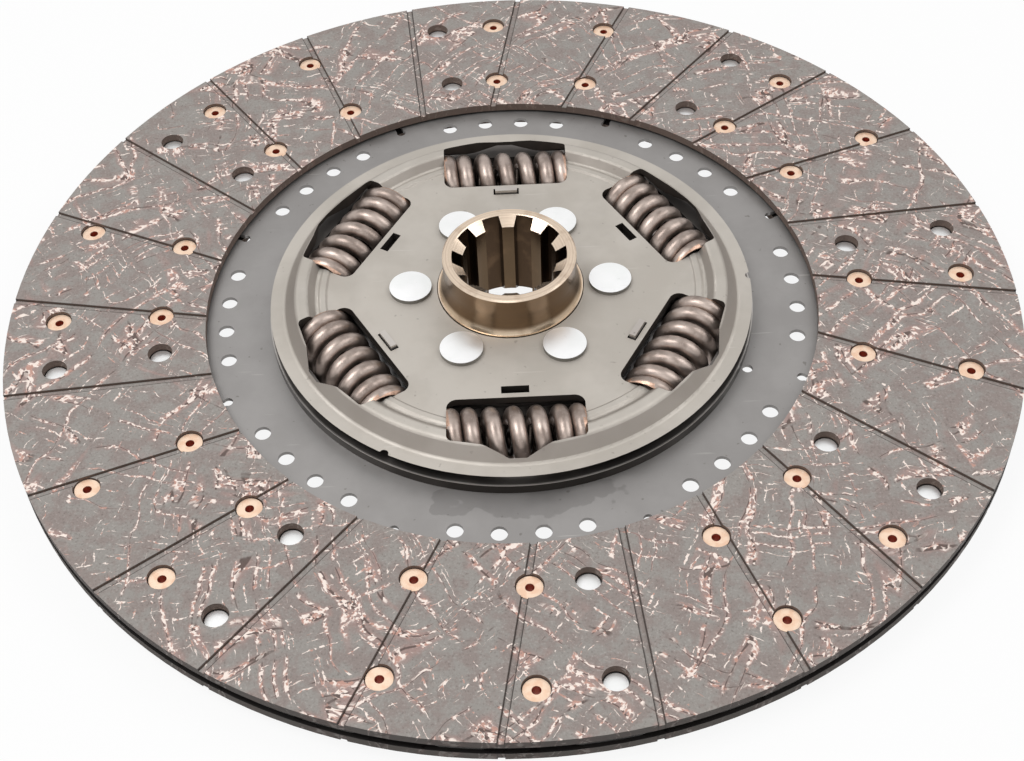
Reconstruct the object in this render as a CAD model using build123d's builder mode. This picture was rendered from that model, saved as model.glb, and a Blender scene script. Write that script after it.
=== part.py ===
from build123d import *
import math
import os

# Clutch disc with a torsion damper: two grooved friction facings on a waved cushion disc,
# a drive plate, and a splined hub that turns a few degrees against it on six pairs of springs.
# Millimetres. The origin is on the hub axis, midway between the facings. +Z points to the
# gearbox, and +Y runs through the middle of the second spring window.

# Hub
hub_top_z = 28.6
hub_bottom_z = -11.3
hub_wall = 3.68
hub_edge_chamfer = 0.6
hub_collar_width = 2.5
hub_collar_height = 0.45
hub_collar_ledge = 0.5
hub_neck_length = 8.6
hub_flange_margin = 11.0
spline_count = 10
spline_major_r = 22.22
spline_depth = 3.92
spline_slot_width = 6.93
spline_lead_in = 3.1
spline_lead_margin = 0.4
spline_tool_margin = 1.0

# Rivets through covers and hub flange
cover_rivet_offset = 10.6
cover_rivet_r = 5.25
cover_rivet_clearance = 0.1
cover_rivet_head_r = 8.25
cover_rivet_head_height = 2.1
cover_rivet_crown = 0.4

# Stops between hub flange and drive plate
stop_count = 3
stop_tooth_width = 5.0
stop_travel = 7.0
stop_notch_depth = 4.2
stop_clearance = 0.4

# Friction stack around the hub flange
friction_ring_gap = 0.8
friction_ring_width = 6.2
front_friction_thickness = 1.1
pressure_ring_thickness = 1.0
washer_thickness = 0.6
washer_cone_height = 0.72
rear_friction_thickness = 1.5
lug_count = 3
first_lug_angle = 90.0
lug_length = 9.0
lug_width = 2.4
lug_stand_out = 1.6
lug_clearance = 0.5

# Springs
spring_count = 6
first_window_angle = 30.0
spring_ring_gap = 1.3
spring_plane_z = 2.2
spring_outer_r = 12.7
spring_wire_r = 3.15
spring_pitch = 8.5
spring_open_turns = 1.8
inner_spring_outer_r = 6.0
inner_spring_wire_r = 1.45
inner_spring_pitch = 5.1
inner_spring_open_turns = 3.9
closing_turns = 0.2
closed_coil_gap = 0.15
ground_tip = 0.6
plain_end_clearance = 0.1
points_per_turn = 12
window_length = 51.0
window_clearance = 0.5

# Cover plates, whose radii are counted from the ring of the springs
cover_thickness = 3.2
cover_bore_clearance = 0.35
bead_offset = 0.6
bead_rise = 0.8
bead_flat = 2.0
bead_height = 0.55
bead_corner_r = 0.4
bead_edge_r = 0.8
valley_offset = 5.0
valley_depth = 0.25
valley_floor_r = 1.2
channel_offset = 8.4
channel_width = 4.2
channel_height = 3.25
channel_inner_bend_r = 1.8
channel_outer_bend_r = 2.6
cover_flange_slope = 5.0
cover_flange_width = 5.4
cover_flange_drop = 2.35
cover_flange_bend_r = 1.8
window_inner_lap = 0.2
window_corner_r = 4.0
lip_end_offset = 9.0
lip_corner_offset = 11.9
lip_corner_t = 12.5
lip_tip_offset = 16.0
lip_tip_t = 3.2
lip_corner_r = 2.0
slot_outset = 0.8
slot_length = 10.4
slot_width = 3.5
edge_notch_r = 1.7
edge_notch_angles = (1.2, -120.9)

# Drive plate
drive_plate_margin = 0.6
drive_plate_thickness = 4.3
drive_plate_rivet_inset = 4.4
drive_plate_rivet_r = 2.4
drive_plate_rivet_head_r = 3.9
drive_plate_rivet_angles = (-6.0, 6.0)
drive_plate_rivet_sink = 90.0
running_clearance = 0.08

# Friction facings
facing_stand_off = 25.4
facing_width = 77.5
facing_thickness = 3.5
facing_gap = 3.3
groove_count = 24
groove_width = 2.4
groove_depth = 0.9
groove_offset = 24.8
groove_outer_angle = 12.2

# Rivets of the facings and of the cushion disc, repeated on every paddle
paddle_count = 8
rivet_outer_inset = 19.5
rivet_inner_inset = 17.8
rivet_angles = (0.8, 29.2)
rivet_shank_r = 2.5
rivet_bore_r = 1.65
rivet_head_r = 4.65
rivet_clinch_r = 4.2
rivet_head_thickness = 0.9
rivet_pocket_r = 5.1
rivet_pocket_depth = 2.2
rivet_clearance = 0.1
paddle_rivet_angle = 9.2
paddle_rivet_head_r = 4.5
paddle_rivet_head_thickness = 2.0
paddle_rivet_chamfer = 0.35
paddle_rivet_clinch_thickness = 1.0
paddle_rivet_access = 0.25

# Cushion disc: a flat ring and waved paddles in one sheet
cushion_thickness = 1.5
cushion_lap = 9.0
cushion_edge_margin = 1.5
cushion_ring_margin = 3.5
paddle_overlap = 1.5
paddle_slot_width = 3.0
relief_hole_inset = 2.5
relief_hole_r = 1.9
group_hole_inset = 7.5
group_hole_r = 3.1
group_hole_angles = (-12.0, -4.0, 4.0, 12.0)
balance_hole_offset = 2.4
balance_hole_r = 2.0
balance_hole_angle = -24.0
wave_edges = (-55.5, -31.5, -13.5, 13.5, 37.5, 60.0)
wave_slope = 5.0

# Radii worked out from the bore outwards
spline_minor_r = spline_major_r - spline_depth
hub_outer_r = spline_major_r + hub_wall
hub_collar_r = hub_outer_r + hub_collar_width
cover_bore_r = hub_collar_r + cover_bore_clearance
cover_rivet_ring_r = hub_collar_r + cover_rivet_offset
hub_flange_r = cover_rivet_ring_r + hub_flange_margin
stop_floor_r = hub_flange_r - stop_notch_depth
stop_tip_r = stop_floor_r + stop_clearance
drive_bore_r = hub_flange_r + running_clearance
friction_ring_inner_r = hub_flange_r + friction_ring_gap
friction_ring_outer_r = friction_ring_inner_r + friction_ring_width
slot_ring_r = (friction_ring_inner_r + friction_ring_outer_r) / 2 + slot_outset
spring_ring_r = friction_ring_outer_r + spring_ring_gap + spring_outer_r
window_inner_s = spring_ring_r - spring_outer_r + window_inner_lap
lip_end_s = spring_ring_r + lip_end_offset
lip_corner_s = spring_ring_r + lip_corner_offset
lip_tip_s = spring_ring_r + lip_tip_offset
bead_inner_r = spring_ring_r + bead_offset
bead_outer_r = bead_inner_r + bead_rise + bead_flat
valley_r = spring_ring_r + valley_offset
channel_inner_r = spring_ring_r + channel_offset
channel_outer_r = channel_inner_r + channel_width
cover_flange_inner_r = channel_outer_r + cover_flange_slope
cover_outer_r = cover_flange_inner_r + cover_flange_width
drive_plate_outer_r = cover_outer_r + drive_plate_margin
drive_plate_rivet_ring_r = drive_plate_outer_r - drive_plate_rivet_inset
cushion_inner_r = drive_plate_outer_r - cushion_lap
balance_hole_ring_r = drive_plate_outer_r + balance_hole_offset
facing_inner_r = drive_plate_outer_r + facing_stand_off
facing_outer_r = facing_inner_r + facing_width
rivet_ring_radii = {"outer": facing_outer_r - rivet_outer_inset, "inner": facing_inner_r + rivet_inner_inset}
access_hole_r = paddle_rivet_head_r + paddle_rivet_access
cushion_outer_r = facing_outer_r - cushion_edge_margin
cushion_ring_r = facing_inner_r + cushion_ring_margin
relief_hole_ring_r = facing_inner_r - relief_hole_inset
group_hole_ring_r = facing_inner_r - group_hole_inset

# Levels worked out from the facings' middle plane to both ends
facing_face_z = facing_gap / 2
facing_top_z = facing_face_z + facing_thickness
pocket_floor_z = facing_top_z - rivet_pocket_depth
cushion_half = cushion_thickness / 2
crest_z = facing_face_z - cushion_half
drive_bottom_z = cushion_half
drive_top_z = drive_bottom_z + drive_plate_thickness
front_friction_z = drive_top_z + running_clearance
pressure_ring_z = front_friction_z + front_friction_thickness
washer_z = pressure_ring_z + pressure_ring_thickness
cover_under_z = washer_z + washer_cone_height + washer_thickness
cover_top_z = cover_under_z + cover_thickness
valley_z = cover_top_z - valley_depth
channel_top_z = cover_top_z + channel_height
cover_flange_z = cover_top_z - cover_flange_drop
rear_cover_under_z = 2 * spring_plane_z - cover_under_z
rear_friction_z = drive_bottom_z - running_clearance - rear_friction_thickness
hub_collar_z = cover_top_z + hub_collar_height
hub_neck_z = hub_top_z - hub_neck_length

# Other places and widths
first_web_angle = first_window_angle - 180 / spring_count
spring_window_width = 2 * (spring_outer_r + window_clearance)
window_half = window_length / 2

os.makedirs("parts", exist_ok=True)


def save(part, label):
    """Name a finished piece and write it."""
    part.label = label
    export_step(part, f"parts/{label}.step")


def ring_sketch(outer_r, inner_r):
    """A flat ring on the sketch plane."""
    Circle(outer_r)
    Circle(inner_r, mode=Mode.SUBTRACT)


def on_ring(radius, angles, copies):
    """Locations at the given angles on a ring, repeated all round it."""
    turns = [step * 360 / copies + angle for step in range(copies) for angle in angles]
    return Locations(*[Location((radius * math.cos(math.radians(a)), radius * math.sin(math.radians(a)), 0))
                       for a in turns])


# Front facing: ring, rivet pockets from the rubbing face, access holes and slanting grooves
groove_start = groove_outer_angle - math.degrees(math.asin(groove_offset / facing_outer_r))
with BuildPart() as front_facing:
    with BuildSketch(Plane.XY.offset(facing_face_z)):
        ring_sketch(facing_outer_r, facing_inner_r)
        for ring_r in rivet_ring_radii.values():
            with on_ring(ring_r, rivet_angles, paddle_count):
                Circle(rivet_shank_r + rivet_clearance, mode=Mode.SUBTRACT)
            with on_ring(ring_r, (paddle_rivet_angle,), paddle_count):
                Circle(access_hole_r, mode=Mode.SUBTRACT)
    extrude(amount=facing_thickness)
    with BuildSketch(Plane.XY.offset(pocket_floor_z)):
        for ring_r in rivet_ring_radii.values():
            with on_ring(ring_r, rivet_angles, paddle_count):
                Circle(rivet_pocket_r)
    extrude(amount=rivet_pocket_depth, mode=Mode.SUBTRACT)
    with BuildSketch(Plane.XY.offset(facing_top_z)):
        with PolarLocations(0, groove_count, groove_start):
            with Locations(((facing_outer_r + facing_inner_r) / 2, groove_offset)):
                Rectangle(facing_outer_r - facing_inner_r + 2 * groove_offset, groove_width)
    extrude(amount=-groove_depth, mode=Mode.SUBTRACT)
save(front_facing.part, "front_facing")

# Rear facing: the same moulding on the other face of the cushion disc
with BuildPart() as rear_facing:
    mirror(front_facing.part, about=Plane.XY)
save(rear_facing.part, "rear_facing")

# Tubular rivets that clamp both facings on the paddles, head to the front, clinched at the rear
with BuildPart() as facing_rivet:
    with BuildSketch(Plane.XZ):
        with BuildLine():
            Polyline(
                (rivet_bore_r, -pocket_floor_z - rivet_head_thickness),
                (rivet_clinch_r, -pocket_floor_z - rivet_head_thickness),
                (rivet_clinch_r, -pocket_floor_z),
                (rivet_shank_r, -pocket_floor_z),
                (rivet_shank_r, pocket_floor_z),
                (rivet_head_r, pocket_floor_z),
                (rivet_head_r, pocket_floor_z + rivet_head_thickness),
                (rivet_bore_r, pocket_floor_z + rivet_head_thickness),
                close=True,
            )
        make_face()
    revolve(axis=Axis.Z)
for ring_name, ring_r in rivet_ring_radii.items():
    with BuildPart() as rivets:
        with on_ring(ring_r, rivet_angles, paddle_count):
            add(facing_rivet.part)
    save(rivets.part, f"facing_rivets_{ring_name}")

# Plated rivets of the paddles, whose flat heads stand in the front facing's access holes
trough_top_z = cushion_half - crest_z
trough_under_z = -cushion_half - crest_z
paddle_head_z = trough_top_z + paddle_rivet_head_thickness
with BuildPart() as paddle_rivet:
    with BuildSketch(Plane.XZ):
        with BuildLine():
            Polyline(
                (0, trough_under_z - paddle_rivet_clinch_thickness),
                (rivet_clinch_r, trough_under_z - paddle_rivet_clinch_thickness),
                (rivet_clinch_r, trough_under_z),
                (rivet_shank_r, trough_under_z),
                (rivet_shank_r, trough_top_z),
                (paddle_rivet_head_r, trough_top_z),
                (paddle_rivet_head_r, paddle_head_z - paddle_rivet_chamfer),
                (paddle_rivet_head_r - paddle_rivet_chamfer, paddle_head_z),
                (0, paddle_head_z),
                close=True,
            )
        make_face()
    revolve(axis=Axis.Z)
for ring_name, ring_r in rivet_ring_radii.items():
    with BuildPart() as rivets:
        with on_ring(ring_r, (paddle_rivet_angle,), paddle_count):
            add(paddle_rivet.part)
    save(rivets.part, f"paddle_rivets_{ring_name}")

# One waved paddle: its flat crests meet the front facing, its flat troughs the rear one
wave_line = [(-cushion_outer_r / 2, -crest_z)]
for edge in wave_edges:
    level = wave_line[-1][1]
    wave_line.append((edge - wave_slope / 2, level))
    wave_line.append((edge + wave_slope / 2, -level))
wave_line.append((cushion_outer_r / 2, wave_line[-1][1]))
half_paddle = 180 / paddle_count
paddle_root_r = cushion_ring_r - paddle_overlap
wedge_apex = paddle_slot_width / 2 / math.sin(math.radians(half_paddle))
wedge_side = 2 * cushion_outer_r * math.tan(math.radians(half_paddle))
with BuildPart() as paddle:
    with BuildSketch(Plane.YZ):
        with BuildLine():
            Polyline(
                *[(u, level + cushion_half) for u, level in wave_line],
                *[(u, level - cushion_half) for u, level in reversed(wave_line)],
                close=True,
            )
        make_face()
    extrude(amount=cushion_outer_r)
    with BuildSketch(Plane.XY.offset(-facing_gap)):
        with BuildLine():
            Polyline(
                (wedge_apex, 0),
                (wedge_apex + 2 * cushion_outer_r, wedge_side),
                (wedge_apex + 2 * cushion_outer_r, -wedge_side),
                close=True,
            )
        make_face()
        Circle(cushion_outer_r, mode=Mode.INTERSECT)
        Circle(paddle_root_r, mode=Mode.SUBTRACT)
    extrude(amount=2 * facing_gap, mode=Mode.INTERSECT)

# Cushion disc: flat ring with its hole groups and relief holes, and the eight paddles
with BuildPart() as cushion_disc:
    with BuildSketch(Plane.XY.offset(-cushion_half)):
        ring_sketch(cushion_ring_r, cushion_inner_r)
        with PolarLocations(relief_hole_ring_r + cushion_ring_r / 2, paddle_count, half_paddle):
            Rectangle(cushion_ring_r, paddle_slot_width, mode=Mode.SUBTRACT)
        with on_ring(relief_hole_ring_r, (half_paddle,), paddle_count):
            Circle(relief_hole_r, mode=Mode.SUBTRACT)
        with on_ring(group_hole_ring_r, group_hole_angles, paddle_count):
            Circle(group_hole_r, mode=Mode.SUBTRACT)
        with on_ring(balance_hole_ring_r, (balance_hole_angle,), 1):
            Circle(balance_hole_r, mode=Mode.SUBTRACT)
        with PolarLocations(spring_ring_r, spring_count, first_window_angle):
            Rectangle(spring_window_width, window_length, mode=Mode.SUBTRACT)
    extrude(amount=cushion_thickness)
    with PolarLocations(0, paddle_count):
        add(paddle.part)
    for ring_r in rivet_ring_radii.values():
        with on_ring(ring_r, (*rivet_angles, paddle_rivet_angle), paddle_count):
            Hole(rivet_shank_r + rivet_clearance)
    with Locations(Plane(origin=(0, 0, -cushion_half), z_dir=(0, 0, -1))):
        with on_ring(drive_plate_rivet_ring_r, drive_plate_rivet_angles, spring_count):
            CounterSinkHole(drive_plate_rivet_r, drive_plate_rivet_head_r,
                            counter_sink_angle=drive_plate_rivet_sink)
save(cushion_disc.part, "cushion_disc")

# Drive plate: six spring windows, flush rivet holes and three stop teeth in its bore
with BuildPart() as drive_plate:
    with BuildSketch(Plane.XY.offset(drive_bottom_z)):
        ring_sketch(drive_plate_outer_r, drive_bore_r)
        with PolarLocations((stop_tip_r + friction_ring_outer_r) / 2, stop_count, first_window_angle):
            Rectangle(friction_ring_outer_r - stop_tip_r, stop_tooth_width)
        with PolarLocations(spring_ring_r, spring_count, first_window_angle):
            Rectangle(spring_window_width, window_length, mode=Mode.SUBTRACT)
    extrude(amount=drive_plate_thickness)
    with Locations((0, 0, drive_top_z)):
        with on_ring(drive_plate_rivet_ring_r, drive_plate_rivet_angles, spring_count):
            CounterSinkHole(drive_plate_rivet_r, drive_plate_rivet_head_r,
                            counter_sink_angle=drive_plate_rivet_sink)
save(drive_plate.part, "drive_plate")

# Flush rivets that hold the cushion disc on the drive plate
sink_depth = (drive_plate_rivet_head_r - drive_plate_rivet_r) / math.tan(math.radians(drive_plate_rivet_sink / 2))
with BuildPart() as flush_rivet:
    with BuildSketch(Plane.XZ):
        with BuildLine():
            Polyline(
                (0, -cushion_half),
                (drive_plate_rivet_head_r, -cushion_half),
                (drive_plate_rivet_r, -cushion_half + sink_depth),
                (drive_plate_rivet_r, drive_top_z - sink_depth),
                (drive_plate_rivet_head_r, drive_top_z),
                (0, drive_top_z),
                close=True,
            )
        make_face()
    revolve(axis=Axis.Z)
with BuildPart() as drive_plate_rivets:
    with on_ring(drive_plate_rivet_ring_r, drive_plate_rivet_angles, spring_count):
        add(flush_rivet.part)
save(drive_plate_rivets.part, "drive_plate_rivets")

# Hub: turned body with collar and hollowed neck, a flange with stop notches, and the splined bore
stop_swing = math.radians(stop_travel)
stop_notch_width = 2 * (hub_flange_r * math.sin(stop_swing) + stop_tooth_width / 2 + stop_clearance)
with BuildPart() as hub:
    with BuildSketch(Plane.XZ):
        with BuildLine():
            Polyline(
                (hub_outer_r, hub_neck_z),
                (hub_outer_r, hub_top_z - hub_edge_chamfer),
                (hub_outer_r - hub_edge_chamfer, hub_top_z),
                (0, hub_top_z),
                (0, hub_bottom_z),
                (hub_collar_r - hub_edge_chamfer, hub_bottom_z),
                (hub_collar_r, hub_bottom_z + hub_edge_chamfer),
                (hub_collar_r, hub_collar_z),
                (hub_collar_r - hub_collar_ledge, hub_collar_z),
            )
            TangentArc((hub_outer_r, hub_neck_z), (hub_collar_r - hub_collar_ledge, hub_collar_z),
                       tangent=(0, -1))
        make_face()
    revolve(axis=Axis.Z)
    with BuildSketch(Plane.XY.offset(rear_cover_under_z)):
        Circle(hub_flange_r)
        with PolarLocations(hub_flange_r, stop_count, first_window_angle):
            Rectangle(4 * stop_notch_depth, stop_notch_width, mode=Mode.SUBTRACT)
        Circle(stop_floor_r)
        with PolarLocations(cover_rivet_ring_r, spring_count, first_web_angle):
            Circle(cover_rivet_r + cover_rivet_clearance, mode=Mode.SUBTRACT)
    extrude(amount=cover_under_z - rear_cover_under_z)
    with BuildSketch(Plane.XY.offset(hub_bottom_z)):
        with PolarLocations(spline_major_r / 2, spline_count):
            Rectangle(spline_major_r + 2 * spline_tool_margin, spline_slot_width)
        Circle(spline_major_r, mode=Mode.INTERSECT)
        Circle(spline_minor_r)
    extrude(amount=hub_top_z - hub_bottom_z, mode=Mode.SUBTRACT)
    with BuildSketch(Plane.XZ):
        for end_z, inwards in ((hub_top_z, -1), (hub_bottom_z, 1)):
            with BuildLine():
                Polyline(
                    (0, end_z),
                    (spline_major_r + spline_lead_margin, end_z),
                    (spline_minor_r, end_z + inwards * spline_lead_in),
                    (0, end_z + inwards * spline_lead_in),
                    close=True,
                )
            make_face()
    revolve(axis=Axis.Z, mode=Mode.SUBTRACT)
save(hub.part, "hub")

# Outline of a spring window in a cover: straight inner edge, and retaining lips with a wide notch outside
with BuildSketch() as cover_window:
    with BuildLine():
        FilletPolyline(
            (window_inner_s, window_half),
            (lip_end_s, window_half),
            (lip_corner_s, lip_corner_t),
            (lip_tip_s, lip_tip_t),
            (lip_tip_s, -lip_tip_t),
            (lip_corner_s, -lip_corner_t),
            (lip_end_s, -window_half),
            (window_inner_s, -window_half),
            radius=(window_corner_r, *[lip_corner_r] * 6, window_corner_r),
            close=True,
        )
    make_face()

# Front cover: pressed section turned round the axis, then spring windows, slots and rivet holes
with BuildPart() as front_cover:
    with BuildSketch(Plane.XZ):
        with BuildLine():
            FilletPolyline(
                (cover_bore_r, cover_top_z),
                (bead_inner_r, cover_top_z),
                (bead_inner_r + bead_rise, cover_top_z + bead_height),
                (bead_outer_r, cover_top_z + bead_height),
                (valley_r, valley_z),
                (channel_inner_r, channel_top_z),
                (channel_outer_r, channel_top_z),
                (cover_flange_inner_r, cover_flange_z),
                (cover_outer_r, cover_flange_z),
                radius=(bead_corner_r, bead_corner_r, bead_edge_r, valley_floor_r,
                        channel_inner_bend_r, channel_outer_bend_r, cover_flange_bend_r),
            )
            offset(amount=cover_thickness, side=Side.RIGHT)
        make_face()
    revolve(axis=Axis.Z)
    with BuildSketch(Plane.XY.offset(spring_plane_z)):
        with PolarLocations(0, spring_count, first_window_angle):
            add(cover_window.sketch)
    extrude(amount=channel_top_z, mode=Mode.SUBTRACT)
    with Locations((0, 0, spring_plane_z)):
        with PolarLocations(spring_ring_r, spring_count, first_window_angle):
            Cylinder(spring_outer_r + window_clearance, window_length, rotation=(90, 0, 0), mode=Mode.SUBTRACT)
    with BuildSketch(Plane.XY.offset(spring_plane_z)):
        with PolarLocations(slot_ring_r, spring_count, first_window_angle):
            Rectangle(slot_width, slot_length)
        with PolarLocations(cover_rivet_ring_r, spring_count, first_web_angle):
            Circle(cover_rivet_r + cover_rivet_clearance)
        with on_ring(cover_outer_r, edge_notch_angles, 1):
            Circle(edge_notch_r)
    extrude(amount=channel_top_z, mode=Mode.SUBTRACT)
save(front_cover.part, "front_cover")

# Rear cover: the same pressing, mirrored in the springs' plane
with BuildPart() as rear_cover:
    mirror(front_cover.part, about=Plane.XY.offset(spring_plane_z))
save(rear_cover.part, "rear_cover")

# Six crowned rivets through front cover, hub flange and rear cover
rivet_crown_z = cover_top_z + cover_rivet_head_height
rivet_rim_z = rivet_crown_z - cover_rivet_crown
with BuildPart() as cover_rivet:
    with BuildSketch(Plane.XZ):
        with BuildLine():
            Polyline(
                (0, rivet_crown_z),
                (0, spring_plane_z),
                (cover_rivet_r, spring_plane_z),
                (cover_rivet_r, cover_top_z),
                (cover_rivet_head_r, cover_top_z),
                (cover_rivet_head_r, rivet_rim_z),
            )
            TangentArc((0, rivet_crown_z), (cover_rivet_head_r, rivet_rim_z), tangent=(1, 0))
        make_face()
    revolve(axis=Axis.Z)
    mirror(about=Plane.XY.offset(spring_plane_z))
with BuildPart() as cover_rivets:
    with PolarLocations(cover_rivet_ring_r, spring_count, first_web_angle):
        add(cover_rivet.part)
save(cover_rivets.part, "cover_rivets")

# Friction rings in front of and behind the drive plate's bore, and the thrust ring behind them
plain_rings = (
    ("front_friction_ring", front_friction_z, pressure_ring_z),
    ("rear_friction_ring", rear_friction_z, rear_friction_z + rear_friction_thickness),
    ("thrust_ring", rear_cover_under_z, rear_friction_z),
)
for ring_name, low_z, high_z in plain_rings:
    with BuildPart() as plain_ring:
        with BuildSketch(Plane.XY.offset(low_z)):
            ring_sketch(friction_ring_outer_r, friction_ring_inner_r)
        extrude(amount=high_z - low_z)
    save(plain_ring.part, ring_name)

# Pressure ring, whose three lugs stand out through every second slot of the front cover
with BuildPart() as pressure_ring:
    with BuildSketch(Plane.XY.offset(pressure_ring_z)):
        ring_sketch(friction_ring_outer_r, friction_ring_inner_r)
    extrude(amount=pressure_ring_thickness)
    with BuildSketch(Plane.XY.offset(pressure_ring_z)):
        with PolarLocations(slot_ring_r, lug_count, first_lug_angle):
            Rectangle(lug_width, lug_length)
    extrude(amount=cover_top_z + lug_stand_out - pressure_ring_z)
save(pressure_ring.part, "pressure_ring")

# Coned spring washer between pressure ring and front cover, notched for the lugs
with BuildPart() as spring_washer:
    with BuildSketch(Plane.XZ):
        with BuildLine():
            Polyline(
                (friction_ring_inner_r, washer_z),
                (friction_ring_outer_r, cover_under_z - washer_thickness),
                (friction_ring_outer_r, cover_under_z),
                (friction_ring_inner_r, washer_z + washer_thickness),
                close=True,
            )
        make_face()
    revolve(axis=Axis.Z)
    with BuildSketch(Plane.XY.offset(washer_z)):
        with PolarLocations(slot_ring_r, lug_count, first_lug_angle):
            with Locations((slot_width, 0)):
                Rectangle(lug_width + 2 * (slot_width + lug_clearance), lug_length + 2 * lug_clearance)
    extrude(amount=cover_under_z - washer_z, mode=Mode.SUBTRACT)
save(spring_washer.part, "spring_washer")


def coil_points(mean_r, wire_r, pitch, open_turns, end_z, hand):
    """Centre line of a spring along Z: open turns in the middle, closed coils at both ends."""
    closed_pitch = 2 * wire_r + closed_coil_gap
    closing_rise = (pitch + closed_pitch) / 2 * closing_turns
    closed_rise = end_z - open_turns * pitch - closing_rise
    half_turns = open_turns + closing_turns + closed_rise / closed_pitch
    steps = round(half_turns * points_per_turn)
    points = []
    for step in range(-steps, steps + 1):
        turn = half_turns * abs(step) / steps
        closing = min(max(turn - open_turns, 0), closing_turns)
        height = min(turn, open_turns) * pitch
        height += closing * (pitch - (pitch - closed_pitch) * closing / closing_turns / 2)
        height += max(turn - open_turns - closing_turns, 0) * closed_pitch
        angle = hand * math.copysign(2 * math.pi * turn, step)
        points.append((mean_r * math.cos(angle), mean_r * math.sin(angle), math.copysign(height, step)))
    return points


def save_springs(label, spring):
    """Put a copy of a spring into each window, with a coil's middle at the top, and write it."""
    for step in range(spring_count):
        turn = math.radians(first_window_angle + step * 360 / spring_count)
        seat = Plane(
            origin=(spring_ring_r * math.cos(turn), spring_ring_r * math.sin(turn), spring_plane_z),
            x_dir=(0, 0, 1),
            z_dir=(-math.sin(turn), math.cos(turn), 0),
        )
        save(seat.location * spring, f"{label}_{step + 1}")


# Outer springs: closed ends, ground flat against the window's ends
outer_mean_r = spring_outer_r - spring_wire_r
outer_end_z = window_half + ground_tip * spring_wire_r
with BuildPart() as outer_spring:
    with BuildLine() as coil:
        Spline(*coil_points(outer_mean_r, spring_wire_r, spring_pitch, spring_open_turns, outer_end_z, 1))
    with BuildSketch(Plane(origin=coil.line @ 0, z_dir=coil.line % 0)):
        Circle(spring_wire_r)
    sweep(is_frenet=True)
    with BuildSketch(Plane.XY.offset(-window_half)):
        Circle(2 * spring_outer_r)
    extrude(amount=window_length, mode=Mode.INTERSECT)
save_springs("outer_spring", outer_spring.part)

# Inner springs: thinner wire of the opposite hand, closed plain ends
inner_mean_r = inner_spring_outer_r - inner_spring_wire_r
inner_end_z = window_half - inner_spring_wire_r - plain_end_clearance
with BuildPart() as inner_spring:
    with BuildLine() as coil:
        Spline(*coil_points(inner_mean_r, inner_spring_wire_r, inner_spring_pitch, inner_spring_open_turns,
                            inner_end_z, -1))
    with BuildSketch(Plane(origin=coil.line @ 0, z_dir=coil.line % 0)):
        Circle(inner_spring_wire_r)
    sweep(is_frenet=True)
save_springs("inner_spring", inner_spring.part)
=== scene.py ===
"""Looks of a spring-damped clutch disc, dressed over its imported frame."""

import logging
import math
from abc import ABC, abstractmethod
from dataclasses import dataclass, replace
from enum import Enum
from functools import reduce

import bpy
from mathutils import Matrix, Vector

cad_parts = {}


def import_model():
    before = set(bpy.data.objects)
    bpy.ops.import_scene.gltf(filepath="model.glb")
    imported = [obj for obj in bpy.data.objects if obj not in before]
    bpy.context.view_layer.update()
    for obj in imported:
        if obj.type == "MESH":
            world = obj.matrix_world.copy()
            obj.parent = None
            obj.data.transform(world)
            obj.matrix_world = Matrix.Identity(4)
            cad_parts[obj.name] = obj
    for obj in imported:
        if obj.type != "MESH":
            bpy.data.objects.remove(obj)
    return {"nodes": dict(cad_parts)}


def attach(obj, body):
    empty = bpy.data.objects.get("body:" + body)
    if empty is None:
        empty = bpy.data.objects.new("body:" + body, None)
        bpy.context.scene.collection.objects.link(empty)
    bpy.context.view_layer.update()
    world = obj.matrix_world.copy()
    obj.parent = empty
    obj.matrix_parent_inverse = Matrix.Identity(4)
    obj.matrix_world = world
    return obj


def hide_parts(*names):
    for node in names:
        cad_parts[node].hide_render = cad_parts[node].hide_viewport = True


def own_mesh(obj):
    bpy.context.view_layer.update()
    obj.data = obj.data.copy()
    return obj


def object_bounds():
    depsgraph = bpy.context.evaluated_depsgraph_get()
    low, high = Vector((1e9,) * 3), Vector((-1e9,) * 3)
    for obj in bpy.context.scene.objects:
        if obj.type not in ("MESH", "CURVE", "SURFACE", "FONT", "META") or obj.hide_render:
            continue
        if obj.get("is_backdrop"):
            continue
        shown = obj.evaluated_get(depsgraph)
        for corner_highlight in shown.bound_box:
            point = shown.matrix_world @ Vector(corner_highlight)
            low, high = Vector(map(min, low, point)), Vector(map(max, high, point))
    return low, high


LOG = logging.getLogger("clutch_disc")
MM_PER_M = 1000.0
# Blender's own step, in pixels, over which a bump's slope is read.
BUMP_STEP_PX = 0.1

Tree = bpy.types.ShaderNodeTree
Shader = bpy.types.ShaderNode
Socket = bpy.types.NodeSocket
Piece = bpy.types.Object
Feed = Socket | str | float | tuple[float, ...]
# Where a fade starts and where it ends, then its result at both, where that isn't 0 and 1.
Fade = tuple[float, ...]


class Winding(Enum):
    """Hand of a coil: the factor on the angle as the wire climbs."""

    RIGHT = 1
    LEFT = -1


def linear(hex_colour: str) -> tuple[float, float, float, float]:
    """Turn an sRGB hex colour into the linear colour that Blender's sockets take.

    Args:
        hex_colour: The colour as six hex digits.

    Returns:
        Linear red, green, blue and an alpha of 1.
    """
    parts = [int(hex_colour[i : i + 2], 16) / 255 for i in (0, 2, 4)]
    return (*[c / 12.92 if c <= 0.04045 else ((c + 0.055) / 1.055) ** 2.4 for c in parts], 1.0)


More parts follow.
